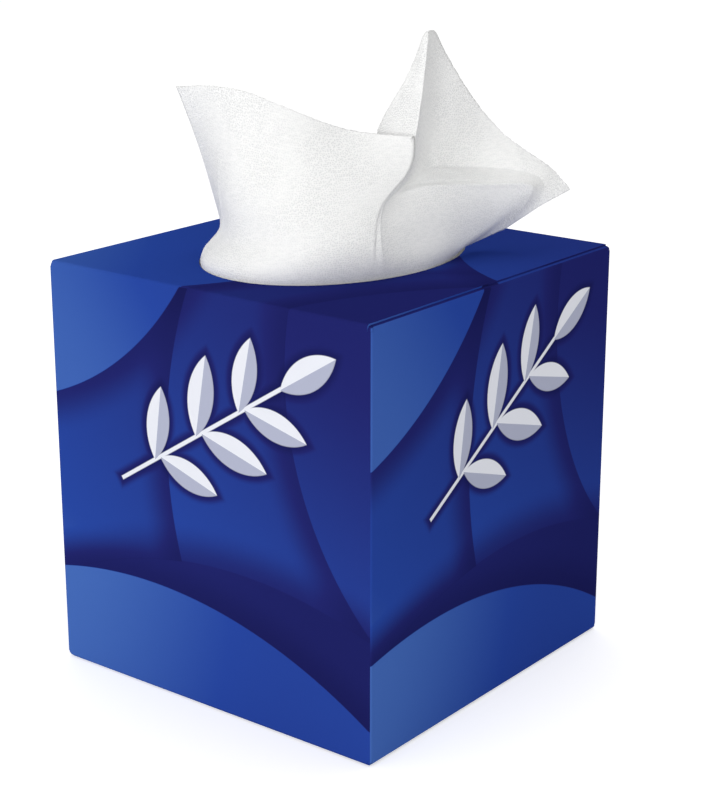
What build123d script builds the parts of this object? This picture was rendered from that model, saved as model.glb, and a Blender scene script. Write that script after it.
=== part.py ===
import os
from math import cos, radians, sin

from build123d import *

# carton, outside sizes
carton_width = 110.0
carton_depth = 110.0
carton_height = 117.0
board = 0.45
fold_radius = 0.9
seam_setback = 0.2
corner_relief = 0.8

# glued flaps, reach measured from the wall's outer face
glue_flap = 14.0
top_side_reach = 20.0
top_back_reach = 11.0
bottom_side_reach = 40.0
bottom_front_reach = 34.0

# oval opening in the top panel
opening_width = 65.0
opening_depth = 84.0

# pile of tissues
stack_clearance = 2.0
stack_headspace = 12.0
stack_shoulder = 21.0
stack_slit = 1.6
stack_slit_height = 62.0

# sheet pulled up through the opening
tissue_thickness = 0.3
tissue_rim_clearance = 0.8
tissue_rim_lift = 0.5
tissue_neck = 0.72
tissue_ridge = 8
wing_creases = (3, 4)
steps_up = 3
steps_across = 2

# folds of the sheet from its left edge round to its right edge: the angle on the oval where the fold leaves the
# opening, then its run up to the free edge, measured from the middle of the top panel
tissue_folds = [
    (194, (-30.5, -12.5, 5.5), (-30.5, -16.0, 16.0), (-30.5, -21.0, 29.0), (-32.0, -27.5, 45.5)),
    (213, (-21.5, -23.0, 7.5), (-20.5, -25.0, 18.0), (-20.0, -27.0, 31.0), (-20.0, -28.0, 47.0)),
    (232, (-14.5, -29.5, 7.5), (-13.5, -30.0, 18.0), (-13.0, -29.5, 31.0), (-13.5, -28.0, 47.0)),
    (253, (-6.0, -34.5, 8.0), (-5.5, -33.0, 18.5), (-5.5, -30.0, 31.0), (-6.0, -26.5, 46.0)),
    (281, (9.0, -36.0, 9.0), (8.5, -32.5, 17.5), (7.0, -26.0, 29.0), (5.5, -20.0, 41.0)),
    (306, (21.5, -31.5, 9.5), (20.0, -26.5, 17.0), (17.5, -19.0, 26.5), (14.0, -10.5, 36.5)),
    (323, (27.0, -24.5, 10.0), (24.5, -19.0, 17.0), (22.5, -13.5, 25.5), (17.0, -4.0, 34.0)),
    (331, (28.5, -21.0, 10.0), (26.5, -15.5, 18.0), (25.0, -8.0, 28.5), (21.0, 4.0, 48.5)),
    (336, (29.0, -16.5, 10.0), (26.0, -11.5, 18.5), (28.5, -2.5, 27.0), (24.0, 10.5, 61.0)),
    (343, (27.0, -10.5, 9.0), (25.5, -4.0, 20.0), (23.0, 10.5, 24.5), (21.5, 19.5, 55.0)),
    (352, (30.5, -5.5, 9.5), (29.0, 3.5, 21.0), (23.5, 17.0, 23.5), (23.5, 26.0, 46.0)),
    (2, (31.5, 7.0, 9.0), (32.5, 15.0, 20.5), (27.0, 27.5, 22.5), (28.0, 33.5, 35.0)),
    (12, (32.0, 20.0, 7.5), (37.5, 28.5, 19.0), (36.0, 35.0, 21.5), (35.0, 38.5, 27.5)),
    (17, (32.5, 26.5, 6.0), (42.0, 34.5, 17.5), (42.5, 38.0, 19.0), (42.0, 42.0, 22.5)),
    (22, (29.5, 23.0, 2.0), (35.0, 31.0, 5.5), (42.5, 37.0, 12.0), (48.5, 43.0, 16.5)),
]

# worked out from the sizes above
fold_centre_radius = fold_radius - board / 2
wall_end = 2 * board + fold_radius
inner_width = carton_width - 2 * board
inner_depth = carton_depth - 2 * board
stack_base = 2 * board
stack_top = carton_height - stack_headspace


def folded_panel(wall, across, reach, top, relief=0.0, mitre=0.0):
    """Board that runs up a wall, bends over its top edge and ends at the given reach, with mitred ends."""
    centre_line = FilletPolyline(
        (board / 2, carton_height - wall_end),
        (board / 2, top - board / 2),
        (reach, top - board / 2),
        radius=fold_centre_radius,
    )
    strip = extrude(Plane.YZ * trace(centre_line, line_width=board), across / 2, both=True)
    outline = Polyline(
        (-across / 2, 0),
        (across / 2, 0),
        (across / 2 - relief, fold_radius),
        (across / 2 - relief - mitre, reach),
        (relief + mitre - across / 2, reach),
        (relief - across / 2, fold_radius),
        close=True,
    )
    strip &= extrude(make_face(outline), carton_height)
    turn, offset = {
        "front": (0, carton_depth / 2),
        "right": (90, carton_width / 2),
        "back": (180, carton_depth / 2),
        "left": (270, carton_width / 2),
    }[wall]
    return Rot(0, 0, turn) * Pos(0, -offset, 0) * strip


def wall_tube():
    """Four walls in one strip of board, closed where the back panel is glued over the flap on the left panel."""
    left = (board - carton_width) / 2
    right = -left
    front = (board - carton_depth) / 2
    back = -front
    flap_to_right = FilletPolyline(
        (left + glue_flap, back - board),
        (left, back - board),
        (left, front),
        (right, front),
        (right, 0),
        radius=fold_centre_radius,
    )
    right_to_seam = FilletPolyline(
        (right, 0),
        (right, back),
        (left - board / 2 + fold_radius + seam_setback, back),
        radius=fold_centre_radius,
    )
    height = carton_height - 2 * wall_end
    strips = [extrude(trace(line, line_width=board), height) for line in (flap_to_right, right_to_seam)]
    return Pos(0, 0, wall_end) * (strips[0] + strips[1])


def upside_down(panel):
    return mirror(panel, about=Plane.XY.offset(carton_height / 2))


def make_carton():
    across_x = carton_width - 2 * (fold_radius + seam_setback)
    across_y = carton_depth - 2 * fold_radius
    outer_reach = carton_depth - fold_radius - seam_setback
    outer = carton_height
    under = carton_height - board
    opening = Pos(0, 0, under) * extrude(Ellipse(opening_width / 2, opening_depth / 2), board)
    top = folded_panel("front", across_x, outer_reach, outer) - opening
    top_flaps = [
        folded_panel("left", across_y, top_side_reach, under, corner_relief, top_back_reach),
        folded_panel("right", across_y, top_side_reach, under, corner_relief, top_back_reach),
        folded_panel("back", across_x, top_back_reach, under, corner_relief, top_side_reach),
    ]
    bottom = folded_panel("back", across_x, outer_reach, outer)
    bottom_flaps = [
        folded_panel("left", across_y, bottom_side_reach, under, corner_relief, bottom_front_reach),
        folded_panel("right", across_y, bottom_side_reach, under, corner_relief, bottom_front_reach),
        folded_panel("front", across_x, bottom_front_reach, under, corner_relief, bottom_side_reach),
    ]
    carton = wall_tube() + top + top_flaps
    carton += [upside_down(panel) for panel in [bottom] + bottom_flaps]
    return carton


def make_stack():
    """Pile of tissues bent over into an inverted U, its two legs side by side."""
    span = inner_depth - 2 * stack_clearance
    length = inner_width - 2 * stack_clearance
    height = stack_top - stack_base
    block = Pos(0, stack_base + height / 2) * Rectangle(span, height)
    shoulders = block.vertices().group_by(Axis.Y)[-1]
    profile = fillet(shoulders, stack_shoulder)
    slit_middle = stack_base + stack_slit_height / 2
    slit = Pos(0, slit_middle) * Rectangle(stack_slit, stack_slit_height)
    slit += Pos(0, stack_base + stack_slit_height) * Circle(stack_slit)
    profile -= slit
    return extrude(Plane.YZ * profile, length / 2, both=True)


def on_oval(angle, share, z):
    half_width = opening_width / 2 - tissue_rim_clearance
    half_depth = opening_depth / 2 - tissue_rim_clearance
    return (share * half_width * cos(radians(angle)), share * half_depth * sin(radians(angle)), z)


def fold_points(angle, run):
    """Points up one fold, from its seat on the pile over the rim to the free edge."""
    seat = on_oval(angle, tissue_neck, stack_top)
    rim = on_oval(angle, 1.0, carton_height + tissue_rim_lift)
    free = [(x, y, carton_height + z) for x, y, z in run]
    return [Vector(point) for point in (seat, rim, *free)]


def along(points, steps):
    """Points on a smooth curve through the given ones, with this many steps from each to the next."""
    last = len(points) - 1
    curve = Edge.make_spline(points, parameters=[i / last for i in range(last + 1)])
    return [curve @ (i / (last * steps)) for i in range(last * steps + 1)]


def creased(points, creases, steps):
    """Points along a run that is smooth from each crease to the next."""
    breaks = [0, *creases, len(points) - 1]
    run = []
    for first, last in zip(breaks, breaks[1:]):
        run = run[:-1] + along(points[first:last + 1], steps)
    return run


def sheet_net():
    """Columns of points across the sheet, which is creased down its ridge and along its wing."""
    folds = []
    for number, (angle, *run) in enumerate(tissue_folds):
        creases = wing_creases if number > tissue_ridge else []
        folds.append(creased(fold_points(angle, run), creases, steps_up))
    rows = [creased(level, [tissue_ridge], steps_across) for level in zip(*folds)]
    return list(zip(*rows))


def inner_net(net):
    """The same net moved inwards by the thickness of the sheet, with its foot still on the pile."""
    moved = []
    for i, column in enumerate(net):
        before = net[max(i - 1, 0)]
        after = net[min(i + 1, len(net) - 1)]
        points = []
        for k, point in enumerate(column):
            across = after[k] - before[k]
            up = column[min(k + 1, len(column) - 1)] - column[max(k - 1, 0)]
            points.append(point - across.cross(up).normalized() * tissue_thickness)
        points[0] = Vector(points[0].X, points[0].Y, stack_top)
        moved.append(points)
    return moved


def facets(first, second):
    """Two flat facets between each two steps of a pair of columns, cut along the shorter diagonal."""
    faces = []
    for a, b, c, d in zip(first, second, second[1:], first[1:]):
        if (c - a).length < (d - b).length:
            corners = (a, b, c), (a, c, d)
        else:
            corners = (a, b, d), (b, c, d)
        faces += [Face(Wire.make_polygon(three)) for three in corners]
    return faces


def make_tissue():
    """Thin sheet of small flat facets, standing on the pile."""
    outer = sheet_net()
    inner = inner_net(outer)
    faces = []
    for net in (outer, inner):
        for pair in zip(net, net[1:]):
            faces += facets(*pair)
    for end in (0, -1):
        faces += facets(outer[end], inner[end])
        faces += facets([column[end] for column in outer], [column[end] for column in inner])
    return Solid(Shell(faces))


pieces = {
    "carton": make_carton(),
    "tissue_stack": make_stack(),
    "pop_up_tissue": make_tissue(),
}

os.makedirs("parts", exist_ok=True)
for name, solid in pieces.items():
    solid.label = name
    export_step(solid, f"parts/{name}.step")
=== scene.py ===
import math

import bmesh
import bpy
import numpy as np
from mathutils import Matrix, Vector


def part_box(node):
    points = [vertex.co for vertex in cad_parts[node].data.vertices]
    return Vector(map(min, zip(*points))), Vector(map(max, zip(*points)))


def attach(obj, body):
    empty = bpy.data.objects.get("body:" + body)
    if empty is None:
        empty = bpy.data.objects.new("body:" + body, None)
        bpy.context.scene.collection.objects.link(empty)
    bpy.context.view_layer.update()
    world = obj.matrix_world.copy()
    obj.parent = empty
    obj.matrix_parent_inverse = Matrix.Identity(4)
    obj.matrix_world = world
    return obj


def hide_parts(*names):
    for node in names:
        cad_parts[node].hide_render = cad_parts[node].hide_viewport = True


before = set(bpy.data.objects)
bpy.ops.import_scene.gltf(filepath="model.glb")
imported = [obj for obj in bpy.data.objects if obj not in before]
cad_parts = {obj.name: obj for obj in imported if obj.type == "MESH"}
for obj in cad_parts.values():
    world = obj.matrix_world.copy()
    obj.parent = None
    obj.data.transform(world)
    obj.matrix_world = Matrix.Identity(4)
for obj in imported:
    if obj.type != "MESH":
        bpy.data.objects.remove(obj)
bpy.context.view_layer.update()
cartonLow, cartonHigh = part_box("carton")
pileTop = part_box("tissue_stack")[1].z
topZ = cartonHigh.z
halfSide = cartonHigh.x
print("frame loaded, carton", [round(v, 4) for v in cartonHigh - cartonLow])


def linear(red, green, blue):
    # screen colour 0-255 to the linear values that sockets hold
    def channel(value):
        share = value / 255
        return share / 12.92 if share <= 0.04045 else ((share + 0.055) / 1.055) ** 2.4
    return (channel(red), channel(green), channel(blue), 1.0)


class Paint:
    # short ways to wire one material's nodes
    def __init__(self, name):
        self.material = bpy.data.materials.new(name)
        self.material.use_nodes = True
        self.tree = self.material.node_tree
        self.shader = self.tree.nodes["Principled BSDF"]
        self.coords = self.tree.nodes.new("ShaderNodeTexCoord")

    def plug(self, socket, value):
        if isinstance(value, bpy.types.NodeSocket):
            self.tree.links.new(value, socket)
        else:
            socket.default_value = value

    def give(self, name, value):
        self.plug(self.shader.inputs[name], value)

    def math(self, operation, first, second=0.0):
        node = self.tree.nodes.new("ShaderNodeMath")
        node.operation = operation
        self.plug(node.inputs[0], first)
        self.plug(node.inputs[1], second)
        return node.outputs[0]

    def vector(self, operation, first, second):
        node = self.tree.nodes.new("ShaderNodeVectorMath")
        node.operation = operation
        self.plug(node.inputs[0], first)
        self.plug(node.inputs[1], second)
        return node.outputs["Value" if operation in ("DISTANCE", "DOT_PRODUCT") else "Vector"]

    def split(self, vector):
        node = self.tree.nodes.new("ShaderNodeSeparateXYZ")
        self.plug(node.inputs[0], vector)
        return node.outputs[0], node.outputs[1], node.outputs[2]

    def join(self, x, y):
        node = self.tree.nodes.new("ShaderNodeCombineXYZ")
        self.plug(node.inputs[0], x)
        self.plug(node.inputs[1], y)
        return node.outputs[0]

    def fade(self, value, start, end, low=0.0, high=1.0, smooth=True):
        node = self.tree.nodes.new("ShaderNodeMapRange")
        node.interpolation_type = "SMOOTHSTEP" if smooth else "LINEAR"
        for socket, number in zip(node.inputs, (value, start, end, low, high)):
            self.plug(socket, number)
        return node.outputs[0]

    def mix(self, factor, first, second):
        node = self.tree.nodes.new("ShaderNodeMix")
        self.plug(node.inputs[0], factor)
        self.plug(node.inputs[2], first)         # the pair for numbers
        self.plug(node.inputs[3], second)
        return node.outputs[0]

    def blend(self, factor, first, second):
        node = self.tree.nodes.new("ShaderNodeMix")
        node.data_type = "RGBA"
        self.plug(node.inputs[0], factor)
        self.plug(node.inputs[6], first)         # the pair for colours
        self.plug(node.inputs[7], second)
        return node.outputs[2]

    def ramp(self, value, stops):
        node = self.tree.nodes.new("ShaderNodeValToRGB")
        self.plug(node.inputs[0], value)
        marks = node.color_ramp.elements
        marks[0].position, marks[0].color = stops[0]
        marks[1].position, marks[1].color = stops[-1]
        for place, colour in stops[1:-1]:
            marks.new(place).color = colour
        return node.outputs[0]

    def noise(self, vector, scale, detail):
        node = self.tree.nodes.new("ShaderNodeTexNoise")
        self.plug(node.inputs["Vector"], vector)
        node.inputs["Scale"].default_value = scale
        node.inputs["Detail"].default_value = detail
        return node.outputs["Fac"]

    def pits(self, vector, pitch, uneven):
        # how far a place is from the nearest of many scattered points, in pitches
        node = self.tree.nodes.new("ShaderNodeTexVoronoi")
        node.voronoi_dimensions = "2D"
        self.plug(node.inputs["Vector"], vector)
        node.inputs["Scale"].default_value = 1 / pitch
        node.inputs["Randomness"].default_value = uneven
        return node.outputs["Distance"]

    def bump(self, height, distance, strength):
        node = self.tree.nodes.new("ShaderNodeBump")
        node.inputs["Strength"].default_value = strength
        node.inputs["Distance"].default_value = distance
        self.plug(node.inputs["Height"], height)
        return node.outputs[0]


def newPiece(name, points, faces, material, flatFaces=0):
    # the last faces of the list can stay flat shaded
    mesh = bpy.data.meshes.new(name)
    mesh.from_pydata(points, [], faces)
    mesh.update()
    smoothFaces = len(faces) - flatFaces
    mesh.polygons.foreach_set("use_smooth", [n < smoothFaces for n in range(len(faces))])
    mesh.materials.append(material)
    piece = bpy.data.objects.new(name, mesh)
    bpy.context.scene.collection.objects.link(piece)
    return piece


# the carton's board; a noise is its scale and detail, a bump its height and strength
boardPlan = {
    "bare": linear(232, 231, 228),           # unprinted side
    "bareDark": linear(214, 212, 207),
    "bareRough": 0.85,
    "speckle": (2600.0, 3.0),
    "inkRough": (0.36, 0.44),
    "inkPatch": (90.0, 2.0),                 # where the ink is a little duller
    "inkPatchSpan": (0.3, 0.7),
    "gloss": 0.0,                            # more would lay a haze of the white room over the ink
    "swell": (26.0, 1.0),                    # the walls aren't quite flat
    "grain": (1500.0, 2.0),
    "grainShare": 0.02,
    "bump": (0.0006, 0.5),
}

# print: places are metres across a panel from its middle and up from the carton's foot, and the top panel
# follows on above the front one; a slope is its start, its end and the tones at both
printPlan = {
    "inks": [
        (0.0, linear(24, 25, 76)),
        (0.25, linear(34, 38, 106)),
        (0.6, linear(40, 70, 158)),
        (1.0, linear(96, 142, 212)),
    ],
    "skin": 0.0014,                          # how far in from the box the printed faces reach
    "facing": 0.3,                           # and how far they look outwards at least
    "corner": 0.004,                         # ink also runs round the cut edges in the corners
    "ground": ((-0.055, 0.000), (0.050, 0.120), (0.66, 0.24)),
    # discs laid over each other from the first to the last: middle, radius and slope
    "discs": [
        ((0.000, 0.262), 0.145, (-0.055, 0.14), (0.04, 0.2), (1.0, 0.5)),
        ((0.105, 0.072), 0.118, (-0.01, 0.01), (0.055, 0.117), (0.64, 0.28)),
        ((0.118, 0.100), 0.090, (0.02, 0.03), (0.055, 0.117), (0.52, 0.22)),
        ((-0.088, 0.172), 0.098, (-0.06, 0.09), (0.0, 0.135), (0.72, 0.54)),
        ((0.085, 0.240), 0.075, (0.0, 0.15), (0.055, 0.227), (0.6, 0.4)),
        ((0.010, -0.100), 0.142, (-0.055, 0.03), (0.055, 0.03), (0.30, 0.16)),
        ((-0.022, -0.113), 0.145, (-0.06, 0.02), (0.03, 0.0), (0.76, 0.56)),
    ],
    "rimSoft": 0.00012,                      # how soft the edge of a disc is printed
    "line": 0.0004,                          # darker line round a disc
    "lineTone": 0.72,
    "shadow": 0.012,                         # soft shadow on what lies under a disc
    "shadowTone": 0.5,
}

# sprig of leaves printed in silver on each wall
sprigPlan = {
    "stem": {"start": (-0.030, 0.060), "end": (0.027, 0.096), "width": 0.0011},
    # foot of each leaf, angle in degrees, length and width
    "leaves": [
        (0.0265, 0.0955, 32, 0.021, 0.0085),
        (0.0125, 0.0868, 78, 0.021, 0.0080),
        (0.0145, 0.0880, -14, 0.021, 0.0080),
        (-0.0025, 0.0774, 80, 0.023, 0.0088),
        (-0.0005, 0.0786, -16, 0.023, 0.0088),
        (-0.0175, 0.0679, 82, 0.021, 0.0080),
        (-0.0155, 0.0691, -18, 0.021, 0.0080),
    ],
    "silver": linear(232, 234, 242),
    "silverDark": linear(176, 180, 201),
    "halo": 0.0028,                          # dark edge round the leaves
    "haloTone": 0.3,
}


def printSpot(paint, at, normal):
    # where on the print a place is, and whether that is on the top or the bottom
    sizeX, sizeY, sizeZ = [paint.math("ABSOLUTE", n) for n in normal]
    sideWall = paint.math("GREATER_THAN", sizeX, sizeY)
    flatPanel = paint.math("GREATER_THAN", sizeZ, paint.math("MAXIMUM", sizeX, sizeY))
    turnX = paint.math("MULTIPLY", paint.math("SIGN", normal[1]), -1.0)
    alongX = paint.math("MULTIPLY", at[0], turnX)
    alongY = paint.math("MULTIPLY", at[1], paint.math("SIGN", normal[0]))
    wallU = paint.mix(sideWall, alongX, alongY)
    topV = paint.math("ADD", at[1], topZ + halfSide)
    spot = paint.join(paint.mix(flatPanel, wallU, at[0]), paint.mix(flatPanel, at[2], topV))
    return spot, flatPanel


def slope(paint, spot, start, end, tones):
    start, end = Vector((*start, 0)), Vector((*end, 0))
    run = end - start
    offset = paint.vector("SUBTRACT", spot, start)
    share = paint.vector("DOT_PRODUCT", offset, run / run.length_squared)
    return paint.fade(share, 0.0, 1.0, *tones)


def printTone(paint, spot):
    plan = printPlan
    tone = slope(paint, spot, *plan["ground"])
    for middle, radius, *shades in plan["discs"]:
        outside = paint.math("SUBTRACT", paint.vector("DISTANCE", spot, (*middle, 0)), radius)
        shade = paint.fade(outside, 0.0, plan["shadow"], plan["shadowTone"], 1.0)
        line = paint.fade(outside, plan["line"], 0.0, 1.0, plan["lineTone"])
        under = paint.math("MULTIPLY", tone, paint.math("MULTIPLY", shade, line))
        cover = paint.fade(outside, plan["rimSoft"], -plan["rimSoft"], smooth=False)
        tone = paint.mix(cover, under, slope(paint, spot, *shades))
    return tone


def sprigStem(paint, spot):
    # how far outside the stem a place is
    stem = sprigPlan["stem"]
    start, end = Vector((*stem["start"], 0)), Vector((*stem["end"], 0))
    run = end - start
    half = run.length / 2
    offset = paint.vector("SUBTRACT", spot, start)
    reach = paint.vector("DOT_PRODUCT", offset, run / run.length)
    beside = paint.vector("DOT_PRODUCT", offset, Vector((-run.y, run.x, 0)) / run.length)
    past = paint.math("SUBTRACT", paint.math("ABSOLUTE", paint.math("SUBTRACT", reach, half)), half)
    off = paint.math("SUBTRACT", paint.math("ABSOLUTE", beside), stem["width"] / 2)
    return paint.math("MAXIMUM", off, past)


def sprigLeaf(paint, spot, leaf):
    # lens between two discs: how far outside it a place is, and which half it lies in
    x, y, angle, length, width = leaf
    turn = math.radians(angle)
    along = Vector((math.cos(turn), math.sin(turn), 0))
    across = Vector((-along.y, along.x, 0))
    heart = Vector((x, y, 0)) + along * length / 2
    radius = (length ** 2 / 4 + width ** 2 / 4) / width
    middles = [heart + across * side * (radius - width / 2) for side in (1, -1)]
    far = [paint.vector("DISTANCE", spot, middle) for middle in middles]
    outside = paint.math("SUBTRACT", paint.math("MAXIMUM", *far), radius)
    return outside, paint.math("GREATER_THAN", far[0], far[1])


def wholeSprig(paint, spot):
    # how far outside the sprig a place is, and whether it is in the dark half of a leaf
    nearest, darkHalf = sprigStem(paint, spot), 0.0
    for leaf in sprigPlan["leaves"]:
        outside, half = sprigLeaf(paint, spot, leaf)
        inside = paint.math("LESS_THAN", outside, 0.0)
        darkHalf = paint.math("MAXIMUM", darkHalf, paint.math("MULTIPLY", inside, half))
        nearest = paint.math("MINIMUM", nearest, outside)
    return nearest, darkHalf


def inkReach(paint, at, normal):
    # only faces that look outwards near the box's skin carry ink
    plan = printPlan
    printed, corner = 0.0, 1.0
    middle, half = (cartonLow + cartonHigh) / 2, (cartonHigh - cartonLow) / 2
    for value, way, centre, span in zip(at, normal, middle, half):
        offset = paint.math("SUBTRACT", value, centre)
        size = paint.math("ABSOLUTE", offset)
        outwards = paint.math("MULTIPLY", paint.math("SIGN", offset), way)
        facing = paint.math("GREATER_THAN", outwards, plan["facing"])
        outer = paint.math("GREATER_THAN", size, span - plan["skin"])
        printed = paint.math("MAXIMUM", printed, paint.math("MULTIPLY", facing, outer))
        outmost = paint.math("GREATER_THAN", size, span - plan["corner"])
        corner = paint.math("MULTIPLY", corner, outmost)
    return paint.math("MAXIMUM", printed, corner)


def printedBoard():
    paint = Paint("printed board")
    board, plan, sprig = boardPlan, printPlan, sprigPlan
    place = paint.coords.outputs["Object"]
    at, normal = paint.split(place), paint.split(paint.coords.outputs["Normal"])
    spot, flatPanel = printSpot(paint, at, normal)

    nearest, darkHalf = wholeSprig(paint, spot)
    halo = paint.fade(nearest, 0.0, sprig["halo"], sprig["haloTone"], 1.0)
    tone = paint.math("MULTIPLY", printTone(paint, spot), paint.mix(flatPanel, halo, 1.0))
    leafCover = paint.fade(nearest, plan["rimSoft"], -plan["rimSoft"], smooth=False)
    leafCover = paint.math("MULTIPLY", leafCover, paint.math("SUBTRACT", 1.0, flatPanel))
    silver = paint.blend(darkHalf, sprig["silver"], sprig["silverDark"])
    ink = paint.blend(leafCover, paint.ramp(tone, plan["inks"]), silver)

    printed = inkReach(paint, at, normal)
    bare = paint.blend(paint.noise(place, *board["speckle"]), board["bare"], board["bareDark"])
    inkPatch = paint.noise(place, *board["inkPatch"])
    inkRough = paint.fade(inkPatch, *board["inkPatchSpan"], *board["inkRough"])
    grain = paint.math("MULTIPLY", paint.noise(place, *board["grain"]), board["grainShare"])
    height = paint.math("ADD", paint.noise(place, *board["swell"]), grain)
    paint.give("Base Color", paint.blend(printed, bare, ink))
    paint.give("Roughness", paint.mix(printed, board["bareRough"], inkRough))
    paint.give("Specular IOR Level", board["gloss"])
    paint.give("Normal", paint.bump(height, *board["bump"]))
    print("board printed")
    return paint.material


# board pinched together in the carton's corners, where three folds meet
pinchPlan = {
    "reach": 0.0026,                         # along each of the three folds
    "round": 0.0010,
    "wall": 0.0003,
    "sunk": 0.00006,                         # under the faces of the walls
    "flapLevel": 0.00056,                    # under the top and over the foot, where the flaps lie
    "seamCorner": (-1, 1),                   # here the wall is glued inside the back panel
    "seamDepth": 0.0005,
    "cuts": 5,
}


def cornerShell():
    # one rounded corner of board, its points as depths from the corner along x, y and z
    plan = pinchPlan
    halfCube, nearly = 0.5, 0.001
    block = bmesh.new()
    bmesh.ops.create_cube(block, size=2 * halfCube)
    bmesh.ops.subdivide_edges(block, edges=block.edges[:], cuts=plan["cuts"], use_grid_fill=True)
    inner = [face for face in block.faces if min(face.calc_center_median()) < nearly - halfCube]
    bmesh.ops.delete(block, geom=inner, context="FACES")
    block.verts.index_update()
    outer, lining = [], []
    for vert in block.verts:
        depth = [(halfCube - c) * plan["reach"] for c in vert.co]
        core = Vector([max(d, plan["round"]) for d in depth])
        way = (Vector(depth) - core).normalized()
        outer.append(core + way * plan["round"])
        lining.append(core + way * (plan["round"] - plan["wall"]))
    count = len(outer)
    skin = [[vert.index for vert in face.verts] for face in block.faces]
    shell = skin + [[count + n for n in reversed(face)] for face in skin]
    for edge in block.edges:
        if edge.is_boundary:
            loop = edge.link_loops[0]
            a, b = loop.vert.index, loop.link_loop_next.vert.index
            shell.append([b, a, count + a, count + b])
    block.free()
    return outer + lining, shell


def pinchedCorners(material):
    plan = pinchPlan
    depths, shell = cornerShell()
    points, faces = [], []
    for sideX in (-1, 1):
        for sideY in (-1, 1):
            seam = plan["seamDepth"] if (sideX, sideY) == plan["seamCorner"] else 0.0
            edgeX, edgeY = halfSide - plan["sunk"], halfSide - plan["sunk"] - seam
            for sideZ in (-1, 1):
                edgeZ = topZ - plan["flapLevel"] if sideZ > 0 else plan["flapLevel"]
                first = len(points)
                mirrored = sideX * sideY * sideZ < 0
                for d in depths:
                    points.append((sideX * (edgeX - d.x), sideY * (edgeY - d.y), edgeZ - sideZ * d.z))
                for face in shell:
                    faces.append([first + n for n in (reversed(face) if mirrored else face)])
    print("corners pinched,", len(faces), "faces")
    return newPiece("corner_pinches", points, faces, material)


# tissue paper, on the flat places of the sheet in metres
tissuePlan = {
    "white": linear(252, 252, 251),
    # painted shade for the pits of the embossed dots, also the darker tone of the fibre
    "pitShadeAndFibre": linear(234, 235, 235),
    "dot": 0.00062,                          # pitch of the embossed dots
    "dotShare": (0.08, 0.42),                # bottom and brim of a dot as shares of the pitch
    "dotUneven": 0.7,
    "dotSlant": 0.5,
    "clear": (60.0, 3.0),                    # patches where the dots are faint
    "clearSpan": (0.34, 0.6),
    "clearShare": (0.35, 1.0),
    "fibre": (1100.0, 3.0),
    "fibreStretch": 0.4,
    "fibreHeight": 0.7,                      # against a dot's depth
    "fibreSpan": (0.35, 0.7),
    "fibreTone": (0.0, 0.3),
    "bump": (0.00008, 0.9),
    "rough": 0.95,
    "gloss": 0.15,
}


def tissuePaper():
    paint = Paint("tissue paper")
    plan = tissuePlan
    flat = paint.coords.outputs["UV"]
    u, v, _ = paint.split(flat)
    slant = paint.join(paint.math("ADD", u, paint.math("MULTIPLY", v, plan["dotSlant"])), v)
    dots = paint.fade(paint.pits(slant, plan["dot"], plan["dotUneven"]), *plan["dotShare"], 1.0, 0.0)
    clear = paint.fade(paint.noise(flat, *plan["clear"]), *plan["clearSpan"], *plan["clearShare"])
    emboss = paint.math("MULTIPLY", dots, clear)
    drawn = paint.join(paint.math("MULTIPLY", u, plan["fibreStretch"]), v)
    fibre = paint.noise(drawn, *plan["fibre"])
    height = paint.math("SUBTRACT", paint.math("MULTIPLY", fibre, plan["fibreHeight"]), emboss)
    # the pits of the embossed dots are painted darker, a painted shade in the hollows, and the fibre adds a
    # tone that varies at random
    pitShadeAndFibreShare = paint.math("ADD", emboss, paint.fade(fibre, *plan["fibreSpan"], *plan["fibreTone"]))
    paint.give("Normal", paint.bump(height, *plan["bump"]))
    paint.give("Base Color", paint.blend(pitShadeAndFibreShare, plan["white"], plan["pitShadeAndFibre"]))
    paint.give("Roughness", plan["rough"])
    paint.give("Specular IOR Level", plan["gloss"])
    return paint.material


# pile of tissues under the opening
pilePlan = {
    "white": linear(240, 240, 239),
    "shade": linear(230, 231, 231),
    "layer": 0.0007,                         # one folded sheet after the next round the arch
    "layerHeight": 0.4,                      # against the soft unevenness
    "soft": (900.0, 3.0),
    "softSpan": (0.3, 0.7),
    "bump": (0.0001, 0.5),
    "rough": 0.95,
}


def pileOfSheets():
    paint = Paint("tissue pile")
    plan = pilePlan
    place = paint.coords.outputs["Object"]
    away = paint.math("ABSOLUTE", paint.split(place)[1])
    layers = paint.math("SINE", paint.math("MULTIPLY", away, 2 * math.pi / plan["layer"]))
    soft = paint.noise(place, *plan["soft"])
    height = paint.math("ADD", paint.math("MULTIPLY", layers, plan["layerHeight"]), soft)
    paint.give("Normal", paint.bump(height, *plan["bump"]))
    paint.give("Base Color", paint.blend(paint.fade(soft, *plan["softSpan"]), plan["shade"], plan["white"]))
    paint.give("Roughness", plan["rough"])
    return paint.material


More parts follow.
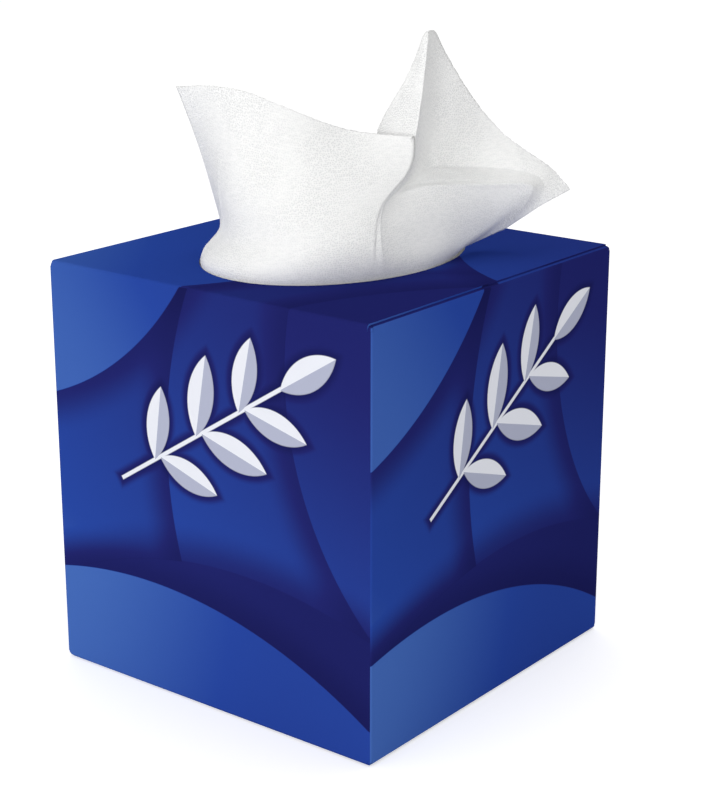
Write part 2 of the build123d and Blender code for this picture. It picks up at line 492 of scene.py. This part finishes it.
# sheet standing in the opening
sheetPlan = {
    "openingHalf": (0.0325, 0.042),
    "rimClearance": 0.0003,
    "rimLift": 0.0005,
    "neck": 0.72,                            # how far the sheet draws in from the rim down to the pile
    "thickness": 0.00025,
    "stepsAcross": 20,                       # columns from each fold to the next
    "stepsUp": 28,                           # rows from each level to the next
    "lobeMiddle": 3,
    "pleat": 6,                              # fold where the hem turns back behind itself
    "ridge": 9,                              # fold that is sharply bent from the peak down
    "wingCreases": (3, 4),                   # levels that are sharply bent to the right of it
    # rim angle, then the run of each fold from the opening to the free edge, in mm from the middle of the top
    "folds": [
        (194, (-30.5, -12.5, 5.5), (-30.5, -16, 16), (-30.5, -21, 29), (-32, -27.5, 45.5)),
        (213, (-21.5, -23, 7.5), (-20.5, -25, 18), (-20, -27, 31), (-20, -28, 47)),
        (232, (-14.5, -29.5, 7.5), (-13.5, -30, 18), (-13, -29.5, 31), (-13.5, -28, 47)),
        (253, (-6, -34.5, 8), (-5.5, -33, 18.5), (-5.5, -30, 31), (-6, -26.5, 46)),
        (281, (9, -36, 9), (8.5, -32.5, 17.5), (7, -26, 29), (5.5, -20, 41)),
        (306, (21.5, -31.5, 9.5), (20, -26.5, 17), (17.5, -19, 26.5), (14, -10.5, 36.5)),
        (331, (29.5, -20, 10), (27, -14, 18.5), (28.5, -4.5, 26), (28, -1.5, 35)),
        (333, (29.5, -19.5, 10), (26.5, -13, 18.5), (25, -4.5, 26.5), (17.5, -4, 35)),
        (334.5, (30, -18.5, 10), (26.5, -12.5, 18.5), (26.5, -4, 27.5), (21, 4, 48.5)),
        (336, (30, -18, 10), (26, -11.5, 18.5), (27.5, -3.5, 27), (24, 10.5, 61)),
        (343, (30, -13, 9.5), (25, -3.5, 20), (23, 10.5, 24.5), (21.5, 19.5, 55)),
        (352, (30.5, -5, 9.5), (28.5, 4.5, 21), (23.5, 17, 23.5), (23.5, 26, 46)),
        (2, (32, 6.5, 9), (33, 14.5, 20.5), (27, 27.5, 22.5), (28, 33.5, 35)),
        (12, (33.5, 18, 8), (39, 26.5, 19.5), (36, 35, 21.5), (35, 38.5, 27.5)),
        (17, (34, 24, 6.5), (43.5, 32, 18), (42.5, 38, 19), (42, 42, 22.5)),
        (22, (29.5, 23, 2), (35, 31, 5.5), (42.5, 37, 12), (48.5, 43, 16.5)),
    ],
    # soft creases pressed into the sheet: two ends as fold number and level, height and width
    "wrinkles": [
        ((1.3, 1.2), (1.5, 3.8), 0.00030, 0.0016),
        ((4.2, 1.3), (4.5, 3.6), 0.00028, 0.0018),
        ((2.6, 1.1), (2.7, 2.6), -0.00025, 0.0020),
        ((10.3, 4.2), (12.4, 3.4), 0.00030, 0.0014),
        ((10.0, 3.5), (12.0, 2.9), -0.00030, 0.0014),
        ((10.2, 2.98), (13.6, 3.0), 0.00045, 0.0007),
        ((9.8, 3.3), (13.2, 3.16), -0.00035, 0.0007),
    ],
    "wrinkleTaper": (0.08, 0.84),            # start and run on a half wave, so that the ends are shallow
    # blunt tip of the peak, cut on the columns that end less than four rounds below it
    "tongue": {"stretch": 0.008, "reach": 0.006, "round": 0.0018, "rounds": 4},
    "fuzz": 0.00012,                         # unevenness of the cut edge
    "fuzzSeed": 7,
}


def smoothThrough(values, steps):
    # even cubic curve through the values, its ends as steep as a parabola through the last three
    last = len(values) - 1
    if last == 1:
        return np.linspace(values[0], values[1], steps + 1)
    system = np.zeros((last + 1, last + 1))
    right = np.zeros_like(values)
    system[0, 0] = system[last, last] = 1
    right[0] = (4 * values[1] - 3 * values[0] - values[2]) / 2
    right[last] = (3 * values[last] - 4 * values[last - 1] + values[last - 2]) / 2
    for i in range(1, last):
        system[i, i - 1:i + 2] = 1, 4, 1
        right[i] = 3 * (values[i + 1] - values[i - 1])
    slopes = np.linalg.solve(system, right.reshape(last + 1, -1)).reshape(values.shape)
    at = np.linspace(0, last, last * steps + 1)
    cell = np.minimum(at.astype(int), last - 1)
    t = (at - cell).reshape((-1,) + (1,) * (values.ndim - 1))
    curve = values[cell] * (1 + 2 * t) * (1 - t) ** 2 + values[cell + 1] * t ** 2 * (3 - 2 * t)
    return curve + slopes[cell] * t * (1 - t) ** 2 - slopes[cell + 1] * t ** 2 * (1 - t)


def creasedThrough(values, creases, steps):
    # smooth from each crease to the next
    breaks = [0, *creases, len(values) - 1]
    panels = [smoothThrough(values[a:b + 1], steps) for a, b in zip(breaks, breaks[1:])]
    return np.concatenate([panels[0]] + [panel[1:] for panel in panels[1:]])


def foldNet():
    plan = sheetPlan
    reach = [half - plan["rimClearance"] for half in plan["openingHalf"]]
    net = []
    for angle, *run in plan["folds"]:
        turn = math.radians(angle)
        rim = (reach[0] * math.cos(turn), reach[1] * math.sin(turn), topZ + plan["rimLift"])
        seat = (rim[0] * plan["neck"], rim[1] * plan["neck"], pileTop)
        net.append([seat, rim] + [(px / 1000, py / 1000, topZ + pz / 1000) for px, py, pz in run])
    return np.array(net)


def sheetCross(surface):
    return np.cross(np.gradient(surface, axis=0), np.gradient(surface, axis=1))


def sheetNormals(surface):
    normal = sheetCross(surface)
    return normal / np.linalg.norm(normal, axis=2, keepdims=True)


def paced(surface, axis):
    # length of paper from the first row or column to each place
    first = np.take(surface, [0], axis=axis)
    return np.linalg.norm(np.diff(surface, axis=axis, prepend=first), axis=2).cumsum(axis=axis)


def wrinkleLift(surface, width, length):
    # height of the soft creases, which keep their scale on the paper
    plan = sheetPlan
    countA, countU = surface.shape[:2]
    lastFold, lastLevel = (countA - 1) // plan["stepsAcross"], (countU - 1) // plan["stepsUp"]
    perFold, perLevel = width / lastFold, length / lastLevel
    foldAt = np.linspace(0, lastFold, countA)[:, None]
    levelAt = np.linspace(0, lastLevel, countU)[None, :]
    taperStart, taperRun = plan["wrinkleTaper"]
    lift = np.zeros((countA, countU))
    for (foldA, levelA), (foldB, levelB), height, spread in plan["wrinkles"]:
        run = np.array([(foldB - foldA) * perFold, (levelB - levelA) * perLevel])
        offA, offU = (foldAt - foldA) * perFold, (levelAt - levelA) * perLevel
        share = np.clip((offA * run[0] + offU * run[1]) / (run @ run), 0, 1)
        far = np.hypot(offA - share * run[0], offU - share * run[1])
        taper = np.sin(np.pi * (taperStart + taperRun * share))
        lift += height * taper * np.exp(-(far / spread) ** 2)
    return lift


def bluntPeak(surface):
    # the peak is drawn up a little and cut off in a round tongue at its old height
    plan, steps = sheetPlan["tongue"], sheetPlan["stepsUp"]
    rows = np.arange(surface.shape[1])
    start = rows[-1] - steps
    apex = surface[sheetPlan["ridge"] * sheetPlan["stepsAcross"], -1].copy()
    far = np.linalg.norm(surface - apex, axis=2)
    surface[:, :, 2] += plan["stretch"] * np.exp(-far / plan["reach"])
    for column in surface:
        over = column[-1, 2] - apex[2]
        if over < -plan["rounds"] * plan["round"]:
            continue
        goal = apex[2] + (over - math.hypot(over, plan["round"])) / 2
        cut = np.interp(goal, column[start:, 2], rows[start:])
        at = np.concatenate([rows[:start], np.linspace(start, cut, steps + 1)])
        column[:] = np.stack([np.interp(at, rows, column[:, k]) for k in range(3)], axis=1)
    return surface


def roughEdge(surface):
    plan = sheetPlan
    rough = np.random.default_rng(plan["fuzzSeed"]).normal(0, plan["fuzz"], len(surface))
    edgeWay = surface[:, -1] - surface[:, -2]
    edgeWay /= np.linalg.norm(edgeWay, axis=1, keepdims=True)
    surface[:, -1] -= edgeWay * np.abs(rough)[:, None]
    return surface


def sheetFaces(countA, countU):
    # front and back of the sheet, and the hem between them
    shift = countA * countU
    sides = []
    for i in range(countA - 1):
        for j in range(countU - 1):
            a, b = i * countU + j, (i + 1) * countU + j
            sides.append((a, b, b + 1, a + 1))
            sides.append((shift + a, shift + a + 1, shift + b + 1, shift + b))
    rim = [(i * countU, (i + 1) * countU) for i in range(countA - 1)]
    rim += [((countA - 1) * countU + j, (countA - 1) * countU + j + 1) for j in range(countU - 1)]
    rim += [((i + 1) * countU + countU - 1, i * countU + countU - 1) for i in range(countA - 1)]
    rim += [(j + 1, j) for j in range(countU - 1)]
    return sides, [(b, a, shift + a, shift + b) for a, b in rim]


def paperPlaces(surface):
    # flat places in metres, across from the lobe's middle and, past the pleat, from the ridge
    plan = sheetPlan
    across = paced(surface, 0)
    turned = plan["pleat"] * plan["stepsAcross"] + 1
    across[turned:] -= across[plan["ridge"] * plan["stepsAcross"]].copy()
    across[:turned] -= across[plan["lobeMiddle"] * plan["stepsAcross"]].copy()
    return np.stack([across, paced(surface, 1)], axis=2).reshape(-1, 2)


def standingSheet(material):
    plan = sheetPlan
    runs = []
    for number, fold in enumerate(foldNet()):
        creases = plan["wingCreases"] if number > plan["ridge"] else ()
        runs.append(creasedThrough(fold, creases, plan["stepsUp"]))
    surface = creasedThrough(np.array(runs), (plan["pleat"], plan["ridge"]), plan["stepsAcross"])
    width, length = paced(surface, 0)[-1, -1], paced(surface, 1)[:, -1].mean()
    lift = wrinkleLift(surface, width, length)
    surface = roughEdge(bluntPeak(surface + sheetNormals(surface) * lift[:, :, None]))

    back = surface - sheetNormals(surface) * plan["thickness"]
    back[:, 0, 2] = surface[:, 0, 2]             # both sides end on the pile
    points = np.concatenate([surface.reshape(-1, 3), back.reshape(-1, 3)])
    sides, hem = sheetFaces(*surface.shape[:2])
    piece = newPiece("tissue_sheet", points.tolist(), sides + hem, material, flatFaces=len(hem))

    mesh = piece.data
    flat = np.tile(paperPlaces(surface), (2, 1))
    corner = np.zeros(len(mesh.loops), dtype=np.int32)
    mesh.loops.foreach_get("vertex_index", corner)
    mesh.uv_layers.new(name="paper").data.foreach_set("uv", flat[corner].ravel())
    area = np.linalg.norm(sheetCross(surface), axis=2).sum()
    measures = [round(float(v), 5) for v in (width, length, area)]
    print("sheet", len(mesh.polygons), "faces, edge, length and area", measures)
    return piece


# studio
studioPlan = {
    "azimuth": 37.9746,
    "elevation": 17.4602,
    "place": (0.32462, -0.40501, 0.23719),
    "focalPixels": 1932.33,
    "frameLong": 802,                        # longer side of the picture in pixels
    "sensor": 36.0,
    "nearest": 0.01,
    "white": (1, 1, 1, 1),
    "floor": linear(244, 244, 244),
    "floorSize": 8.0,
    "floorRough": 0.9,
    "floorGlow": 0.5,                        # lifts the floor to white for the eye alone
    "sky": 0.54,
    "aim": 0.7,                              # lamps point at this share of the carton's height
    # name, place, size, power
    "lamps": [
        ("key", (-0.45, -1.15, 0.40), 0.9, 2.8),
        ("fill", (0.62, -1.07, 0.20), 0.9, 7.4),
        ("top", (-0.20, 0.30, 1.40), 1.0, 3.5),
    ],
}


def softLamp(name, place, size, power):
    lamp = bpy.data.lights.new(name, "AREA")
    lamp.size = size
    lamp.energy = power
    holder = bpy.data.objects.new(name, lamp)
    holder.location = place
    aim = Vector((0, 0, topZ * studioPlan["aim"])) - Vector(place)
    holder.rotation_euler = aim.to_track_quat("-Z", "Y").to_euler()
    bpy.context.scene.collection.objects.link(holder)


def eyeRays(tree):
    # 1 for what the camera sees, straight, mirrored or through glass
    path = tree.nodes.new("ShaderNodeLightPath")
    seen = path.outputs["Is Camera Ray"]
    for name in ("Is Glossy Ray", "Is Transmission Ray"):
        either = tree.nodes.new("ShaderNodeMath")
        either.operation = "MAXIMUM"
        tree.links.new(seen, either.inputs[0])
        tree.links.new(path.outputs[name], either.inputs[1])
        seen = either.outputs[0]
    return seen


def whiteFloor():
    plan = studioPlan
    bpy.ops.mesh.primitive_plane_add(size=plan["floorSize"])
    floor = bpy.context.object
    floor.name = "floor"
    paint = Paint("white floor")
    paint.give("Base Color", plan["floor"])
    paint.give("Roughness", plan["floorRough"])
    paint.give("Specular IOR Level", 0.0)
    paint.give("Emission Color", plan["white"])
    paint.give("Emission Strength", paint.math("MULTIPLY", eyeRays(paint.tree), plan["floorGlow"]))
    floor.data.materials.append(paint.material)


def whiteRoom():
    plan = studioPlan
    world = bpy.data.worlds.new("white room")
    bpy.context.scene.world = world
    world.use_nodes = True
    tree = world.node_tree
    light = tree.nodes["Background"]
    light.inputs["Color"].default_value = plan["white"]
    strength = tree.nodes.new("ShaderNodeMapRange")
    tree.links.new(eyeRays(tree), strength.inputs["Value"])
    strength.inputs["To Min"].default_value = plan["sky"]
    strength.inputs["To Max"].default_value = 1.0
    tree.links.new(strength.outputs[0], light.inputs["Strength"])


def photoCamera():
    plan = studioPlan
    lens = bpy.data.cameras.new("camera")
    lens.sensor_width = plan["sensor"]
    lens.lens = plan["focalPixels"] / plan["frameLong"] * lens.sensor_width
    lens.clip_start = plan["nearest"]
    holder = bpy.data.objects.new("camera", lens)
    bpy.context.scene.collection.objects.link(holder)
    turn, rise = math.radians(plan["azimuth"]), math.radians(plan["elevation"])
    back = Vector((math.sin(turn) * math.cos(rise), -math.cos(turn) * math.cos(rise), math.sin(rise)))
    holder.location = plan["place"]
    holder.rotation_euler = back.to_track_quat("Z", "Y").to_euler()
    bpy.context.scene.camera = holder


def studio():
    bpy.context.scene.view_settings.view_transform = "Standard"
    whiteFloor()
    whiteRoom()
    for lamp in studioPlan["lamps"]:
        softLamp(*lamp)
    photoCamera()
    print("studio set")


def dress(node, material):
    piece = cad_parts[node]
    piece.data.materials.clear()
    piece.data.materials.append(material)


board = printedBoard()
dress("carton", board)
pinches = pinchedCorners(board)
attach(pinches, "root")
dress("tissue_stack", pileOfSheets())
sheet = standingSheet(tissuePaper())
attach(sheet, "root")
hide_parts("pop_up_tissue")
studio()
print("pieces dressed")
